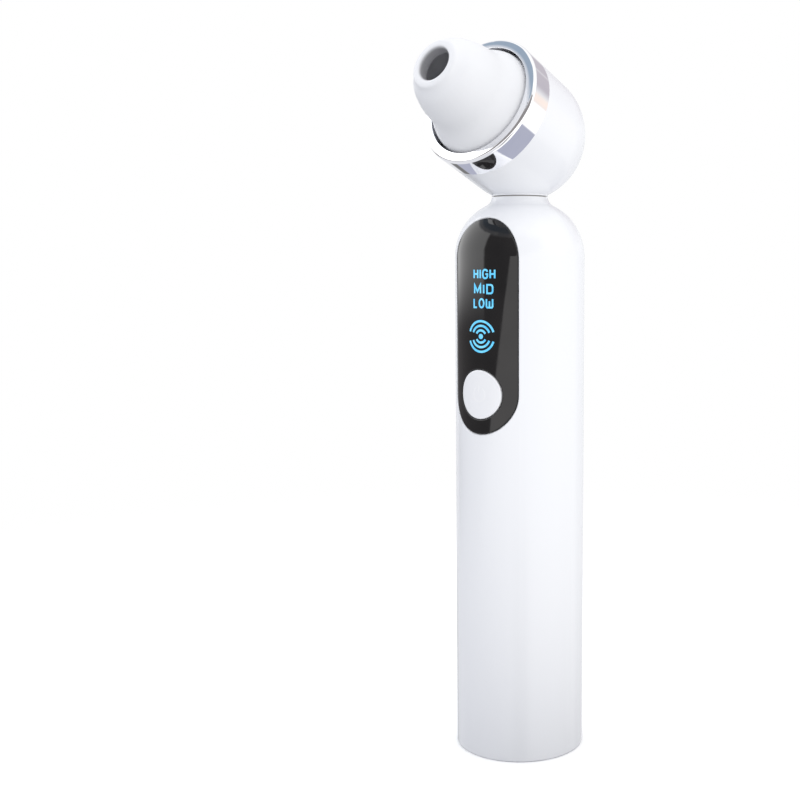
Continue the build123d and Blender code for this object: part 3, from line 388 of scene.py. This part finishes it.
# ---------------------------------------------------------------- legend and power symbol
# Letters as strokes in a box one unit tall: (width, strokes)
ROUND = [(math.cos(t), math.sin(t)) for t in (i * math.pi / 16 for i in range(33))]
LETTERS = {
    "H": (0.76, [[(0, 0), (0, 1)], [(0.76, 0), (0.76, 1)], [(0, 0.5), (0.76, 0.5)]]),
    "I": (0.0, [[(0, 0), (0, 1)]]),
    "G": (0.84, [[(0.84, 0.76), (0.72, 0.93), (0.54, 1), (0.3, 1), (0.1, 0.88), (0, 0.66), (0, 0.34),
                  (0.1, 0.12), (0.3, 0), (0.54, 0), (0.74, 0.08), (0.84, 0.24), (0.84, 0.48), (0.5, 0.48)]]),
    "M": (0.96, [[(0, 0), (0, 1), (0.48, 0.2), (0.96, 1), (0.96, 0)]]),
    "D": (0.8, [[(0, 0), (0, 1), (0.54, 1), (0.73, 0.92), (0.8, 0.72), (0.8, 0.28), (0.73, 0.08), (0.54, 0),
                 (0, 0)]]),
    "L": (0.6, [[(0, 1), (0, 0), (0.6, 0)]]),
    "O": (0.88, [[(0.44 + 0.44 * x, 0.5 + 0.5 * y) for x, y in ROUND]]),
    "W": (1.1, [[(0, 1), (0, 0.12), (0.12, 0), (0.98, 0), (1.1, 0.12), (1.1, 1)], [(0.55, 0), (0.55, 0.75)]]),
}
LETTER_GAP = 0.5
STROKE_STEP = 0.25                  # longest stretch of a stroke before it is bent to the surface, mm
MITRE_LIMIT = 0.35                  # keeps the corners of a stroke from running out to a spike
INLAY_SINK = 0.01                   # how far a stroke reaches into the surface, mm
INLAY_THICK = 0.03                  # how far it stands above it, mm
AHEAD = -60                         # Y from which the surface is looked for, mm


def word(text, left, right, middle, tall):
    """Strokes of a word in mm: its ends along the surface, its middle height and its letters' height."""
    width = sum(LETTERS[c][0] for c in text) + LETTER_GAP * (len(text) - 1)
    spread = (right - left) / width
    strokes, at = [], 0.0
    for character in text:
        advance, lines = LETTERS[character]
        for line in lines:
            strokes.append([(left + (at + x) * spread, middle + (y - 0.5) * tall) for x, y in line])
        at += advance + LETTER_GAP
    return strokes


def arc(cx, cz, radius, start_deg, end_deg, steps=28):
    span = [math.radians(start_deg + (end_deg - start_deg) * i / steps) for i in range(steps + 1)]
    return [(cx + radius * math.cos(a), cz + radius * math.sin(a)) for a in span]


def outline_of(line, half):
    """The two edges of a mitred stroke along a line of points."""
    closed = math.dist(line[0], line[-1]) < 1e-6
    points = [Vector(p) for p in line]
    left, right = [], []
    for i, point in enumerate(points):
        before = points[i - 1] if i else (points[-2] if closed else None)
        after = points[i + 1] if i + 1 < len(points) else (points[1] if closed else None)
        a = (point - before).normalized() if before is not None else (after - point).normalized()
        b = (after - point).normalized() if after is not None else a
        normal = Vector((-(a + b).y, (a + b).x)).normalized()
        reach = half / max(MITRE_LIMIT, normal.dot(Vector((-a.y, a.x))))
        left.append(point + normal * reach)
        right.append(point - normal * reach)
    return left, right


def subdivided(line, longest):
    out = [line[0]]
    for a, b in zip(line, line[1:]):
        steps = max(1, math.ceil(math.dist(a, b) / longest))
        out += [(a[0] + (b[0] - a[0]) * k / steps, a[1] + (b[1] - a[1]) * k / steps)
                for k in range(1, steps + 1)]
    return out


def finished(name, bm, body, material):
    """Makes a piece of finished geometry, riding on a body."""
    bmesh.ops.recalc_face_normals(bm, faces=bm.faces)
    mesh = bpy.data.meshes.new(name)
    bm.to_mesh(mesh)
    bm.free()
    mesh.materials.append(material)
    piece = bpy.data.objects.new(name, mesh)
    bpy.context.scene.collection.objects.link(piece)
    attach(piece, body)
    return piece


def inlay(name, strokes, half, dots, onto, wrap_r, body, material):
    """Thin raised strokes laid on the front of a node. Their x runs along the handle's curve; all in mm."""
    target = NODES[onto]
    bm = bmesh.new()

    def lay(u, z):
        x = wrap_r * math.sin(u / wrap_r)
        hit, point, normal, _ = target.ray_cast(Vector((x, AHEAD, z)) * MM, Vector((0, 1, 0)))
        if not hit:
            raise ValueError(f"{name} runs off {onto} at {u:.2f}, {z:.2f}")
        return point, normal

    def raised(ring_points):
        """Base and top vertices of one outline point."""
        point, normal = lay(*ring_points)
        return bm.verts.new(point - normal * INLAY_SINK * MM), bm.verts.new(point + normal * INLAY_THICK * MM)

    for line in strokes:
        left, right = outline_of(subdivided(line, STROKE_STEP), half)
        rows = [(raised(a), raised(b)) for a, b in zip(left, right)]
        for (a0, b0), (a1, b1) in zip(rows, rows[1:]):
            bm.faces.new((a0[1], b0[1], b1[1], a1[1]))
            bm.faces.new((a0[0], a0[1], a1[1], a1[0]))
            bm.faces.new((b0[1], b0[0], b1[0], b1[1]))
            bm.faces.new((b0[0], a0[0], a1[0], b1[0]))
        for (a, b), flip in ((rows[0], False), (rows[-1], True)):
            face = (a[0], b[0], b[1], a[1])
            bm.faces.new(face[::-1] if flip else face)
    for cx, cz, radius in dots:
        rim = [raised((cx + radius * x, cz + radius * z)) for x, z in ROUND[:-1]]
        bm.faces.new([v[1] for v in rim])
        bm.faces.new([v[0] for v in reversed(rim)])
        for a, b in zip(rim, rim[1:] + rim[:1]):
            bm.faces.new((a[0], b[0], b[1], a[1]))
    return finished(name, bm, body, material)


BODY_R = (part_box("handle_shell")[1].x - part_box("handle_shell")[0].x) / 2 / MM
TEXT_TALL, TEXT_HALF = 2.0, 0.21
TEXT_ROWS = (("HIGH", -1.41, 4.45, 119.05), ("MID", -1.24, 3.92, 115.5), ("LOW", -1.44, 3.9, 112.15))
legend = [stroke for row in TEXT_ROWS for stroke in word(*row, TEXT_TALL)]
inlay("legend_words", legend, TEXT_HALF, [], "display_window", BODY_R, "handle", MATERIALS["led_blue"])

ICON_U, ICON_Z = 0.62, 104.25
ICON_HALF, ICON_DOT_R = 0.26, 0.62
ICON_ARCS = ((1.45, 62), (2.55, 68), (3.65, 72))      # radius in mm, half span in degrees
icon = [arc(ICON_U, ICON_Z, radius, middle - span, middle + span)
        for middle in (90, 270) for radius, span in ICON_ARCS]
inlay("suction_icon", icon, ICON_HALF, [(ICON_U, ICON_Z, ICON_DOT_R)], "display_window", BODY_R, "handle",
      MATERIALS["led_blue"])

BUTTON_LOW, BUTTON_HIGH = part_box("power_button")
BUTTON_Z = (BUTTON_LOW.z + BUTTON_HIGH.z) / 2 / MM
SYMBOL_R, SYMBOL_HALF = 1.7, 0.17
SYMBOL_BAR = (0.5, 2.1)                 # its lower and upper end above the button's middle
symbol_white = plastic("power_symbol", (0.93, 0.935, 0.95), (0.9, 0.905, 0.93), 0.22, 0.6, 0.002, coat=0.3)
symbol = [arc(0, BUTTON_Z, SYMBOL_R, 125, 415), [(0, BUTTON_Z + end) for end in SYMBOL_BAR]]
inlay("power_symbol", symbol, SYMBOL_HALF, [], "power_button", BODY_R, "button", symbol_white)


def turned(name, profile, middle, body, material, around=64):
    """A closed ring about an axis along Y through middle; its profile is a loop of (radius, y) points."""
    bm = bmesh.new()
    turns = [2 * math.pi * i / around for i in range(around)]
    rings = [[bm.verts.new((middle.x + radius * math.cos(a), y, middle.z + radius * math.sin(a)))
              for a in turns] for radius, y in profile]
    for ring, after in zip(rings, rings[1:] + rings[:1]):
        for i in range(around):
            j = (i + 1) % around
            bm.faces.new((ring[i], ring[j], after[j], after[i])).smooth = True
    return finished(name, bm, body, material)


# The silicone cone under the button; on the real part it flattens as the button is pressed, while here it
# keeps one shape
PAD_LOW, PAD_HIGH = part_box("button_pad")
PAD_R = (PAD_HIGH.x - PAD_LOW.x) / 2
PAD_WALL, PAD_TAPER, PAD_BEAD, PAD_FOOT = 0.8 * MM, 1.4 * MM, 0.2 * MM, 0.3 * MM
PAD_TOP_R = PAD_R - PAD_TAPER
PAD_PROFILE = [(PAD_R, PAD_HIGH.y), (PAD_R, PAD_HIGH.y - PAD_FOOT),
               (PAD_TOP_R, PAD_LOW.y + PAD_BEAD), (PAD_TOP_R - PAD_BEAD, PAD_LOW.y),
               (PAD_TOP_R - PAD_WALL + PAD_BEAD, PAD_LOW.y), (PAD_TOP_R - PAD_WALL, PAD_LOW.y + PAD_BEAD),
               (PAD_R - PAD_WALL, PAD_HIGH.y - PAD_FOOT), (PAD_R - PAD_WALL, PAD_HIGH.y)]
pad = turned("return_pad", PAD_PROFILE, (PAD_LOW + PAD_HIGH) / 2, "handle", MATERIALS["silicone"])
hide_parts("button_pad")
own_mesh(pad)

# ---------------------------------------------------------------- studio
# Light by direction: azimuth is 0 towards -Y and 90 towards +X, elevation is above the horizon, in degrees
world = bpy.data.worlds.new("studio")
bpy.context.scene.world = world
world.use_nodes = True
sky = Graph(world.node_tree)
split = sky.add("ShaderNodeSeparateXYZ")
sky.join(sky.add("ShaderNodeTexCoord").outputs["Generated"], split.inputs[0])
toward = sky.math("MULTIPLY", split.outputs[1], -1.0)
AZIMUTH = sky.math("MULTIPLY", sky.math("ARCTAN2", split.outputs[0], toward), 180 / math.pi)
ELEVATION = sky.math("MULTIPLY", sky.math("ARCSINE", split.outputs[2]), 180 / math.pi)
BACK = sky.math("ABSOLUTE", AZIMUTH)    # angle from the display side, so that the rear is one range


def card(under, azimuth, low, high, soft, floor, roof, blur, colour):
    """A soft-edged panel of light, or of shade, over what is already there. It runs from low to high in
    azimuth, softened by soft, and from floor to roof in elevation, softened by blur, all in degrees."""
    mask = sky.math("MULTIPLY", sky.band(azimuth, low, high, soft), sky.band(ELEVATION, floor, roof, blur))
    return sky.mix(mask, under, colour)


def grey(level, tint=(1.0, 1.0, 1.0)):
    return tuple(level * c for c in tint)


# What glossy surfaces mirror
light = sky.mix(sky.remap(ELEVATION, -40, 55), grey(0.8, (0.98, 0.99, 1.03)), grey(1.0))
light = card(light, AZIMUTH, 22, 126, 8, -70, 75, 12, grey(1.32, (1.0, 0.998, 1.0)))
light = card(light, AZIMUTH, -118, -20, 14, 5, 60, 8, grey(0.78, (0.97, 1.0, 1.06)))
light = card(light, AZIMUTH, 24, 52, 5, -50, 50, 12, grey(0.4))
light = card(light, AZIMUTH, -200, 200, 1, 57, 100, 5, grey(1.08))
light = card(light, AZIMUTH, -12, 16, 5, 38, 56, 4, grey(0.6, (0.97, 1.0, 1.09)))
light = card(light, AZIMUTH, -50, -12, 4, 6, 14, 3, grey(1.08))
light = card(light, AZIMUTH, -95, 22, 4, 45, 76, 2.0, (0.34, 0.42, 0.52))
light = card(light, AZIMUTH, -140, -112, 5, -48, -28, 5, (0.5, 0.51, 0.6))
light = card(light, AZIMUTH, -136, -122, 3, -27, -15, 2.5, grey(0.2))
light = card(light, BACK, 124, 181, 4, -80, -27, 1.2, (0.45, 0.465, 0.57))
light = card(light, AZIMUTH, 118, 158, 5, -26, 3, 1.5, grey(1.22))
light = card(light, AZIMUTH, 132, 152, 4, 3.5, 12, 3, (1.08, 0.93, 0.84))
light = card(light, BACK, 152, 181, 6, 12, 36, 4, (0.57, 0.535, 0.585))
slant = sky.math("ADD", sky.math("MULTIPLY", ELEVATION, 4.6), 18.0)
edge = sky.math("MINIMUM", slant, 80.0)
light = card(light, AZIMUTH, slant, 60, 1.6, -12, 5, 3, grey(1.5, (1.0, 0.98, 0.97)))
light = card(light, AZIMUTH, -106, edge, 1.6, -12, 38, 3, grey(0.28, (1.05, 1.0, 1.0)))
light = card(light, AZIMUTH, -104, -28, 3, -1.2, 40, 1.9, grey(2.15))

# What lights matt surfaces: a bright ceiling and right side, shade from the lower left
soft = sky.mix(sky.remap(ELEVATION, -40, 50), grey(0.74, (0.97, 0.99, 1.04)), grey(1.0))
soft = card(soft, AZIMUTH, 25, 135, 14, -70, 60, 14, grey(1.2))
soft = card(soft, AZIMUTH, -150, -30, 20, -95, -2, 10, grey(0.54, (0.97, 1.0, 1.06)))
soft = card(soft, AZIMUTH, -120, 20, 20, 8, 60, 12, grey(1.18, (0.97, 0.99, 1.04)))
soft = card(soft, AZIMUTH, -200, 200, 1, 48, 100, 12, grey(1.42))

background = world.node_tree.nodes["Background"]
rays = sky.add("ShaderNodeLightPath")
light = sky.mix(rays.outputs["Is Diffuse Ray"], light, soft)
sky.join(sky.mix(rays.outputs["Is Camera Ray"], light, (1.0, 1.0, 1.0)), background.inputs["Color"])
background.inputs["Strength"].default_value = 1.0
# The sky depends on the kind of ray, so only the rays themselves meet it
world.cycles.sampling_method = "NONE"
FLOOR_SIDES = 96


def ground(name, radii, drop, tones, glow):
    """Round floor at drop below the base, fading out towards its rim. Its radii run outwards."""
    mesh = bpy.data.meshes.new(name)
    bm = bmesh.new()
    rings = [[bm.verts.new((radius * math.cos(a), radius * math.sin(a), 0.0))
              for a in (2 * math.pi * i / FLOOR_SIDES for i in range(FLOOR_SIDES))] for radius in radii]
    bm.faces.new(rings[0])
    for inner, outer in zip(rings, rings[1:]):
        for i in range(FLOOR_SIDES):
            j = (i + 1) % FLOOR_SIDES
            bm.faces.new((inner[i], outer[i], outer[j], inner[j]))
    bm.to_mesh(mesh)
    bm.free()
    paint = bpy.data.materials.new(name)
    paint.use_nodes = True
    g = Graph(paint.node_tree)
    shader = paint.node_tree.nodes["Principled BSDF"]
    g.join(g.mix(g.remap(g.noise(60.0, 3.0), 0.3, 0.7), *tones), shader.inputs["Base Color"])
    shader.inputs["Roughness"].default_value = 0.8
    shader.inputs["Emission Color"].default_value = (1, 1, 1, 1)
    shader.inputs["Emission Strength"].default_value = glow
    distance = g.add("ShaderNodeVectorMath", operation="LENGTH")
    g.join(g.place(), distance.inputs[0])
    blend = g.add("ShaderNodeMixShader")
    g.join(g.remap(distance.outputs["Value"], radii[0], radii[-1] * 0.8), blend.inputs[0])
    g.join(shader.outputs[0], blend.inputs[1])
    g.join(g.add("ShaderNodeBsdfTransparent").outputs[0], blend.inputs[2])
    g.join(blend.outputs[0], paint.node_tree.nodes["Material Output"].inputs["Surface"])
    mesh.materials.append(paint)
    piece = bpy.data.objects.new(name, mesh)
    bpy.context.scene.collection.objects.link(piece)
    piece.location.z = CAD_BOX[0][2] - drop
    piece.visible_glossy = False
    return piece


# The pale floor is for the eye alone; the grey one under it takes its place as a source of bounced light
floor = ground("floor", radii=(0.04, 0.12, 0.25, 0.45), drop=0.00002,
               tones=((0.955, 0.957, 0.965), (0.945, 0.947, 0.957)), glow=0.08)
floor.visible_diffuse = False
shade = ground("floor_shade", radii=(0.045, 0.08, 0.12), drop=0.0004,
               tones=((0.25, 0.255, 0.28), (0.23, 0.235, 0.26)), glow=0.0)
shade.visible_camera = False

data = bpy.data.cameras.new("photo_camera")
data.sensor_width = 36
data.lens = FOCAL_TO_WIDTH * data.sensor_width
data.shift_x = SHIFT_X
data.clip_start = 0.01
data.clip_end = 20
camera = bpy.data.objects.new("photo_camera", data)
bpy.context.scene.collection.objects.link(camera)
camera.location = (CAMERA_DISTANCE * math.sin(CAMERA_AZIMUTH), -CAMERA_DISTANCE * math.cos(CAMERA_AZIMUTH),
                   CAMERA_HEIGHT)
camera.rotation_euler = (math.pi / 2 - CAMERA_PITCH, 0, CAMERA_AZIMUTH)
bpy.context.scene.camera = camera
bpy.context.scene.view_settings.view_transform = "Standard"
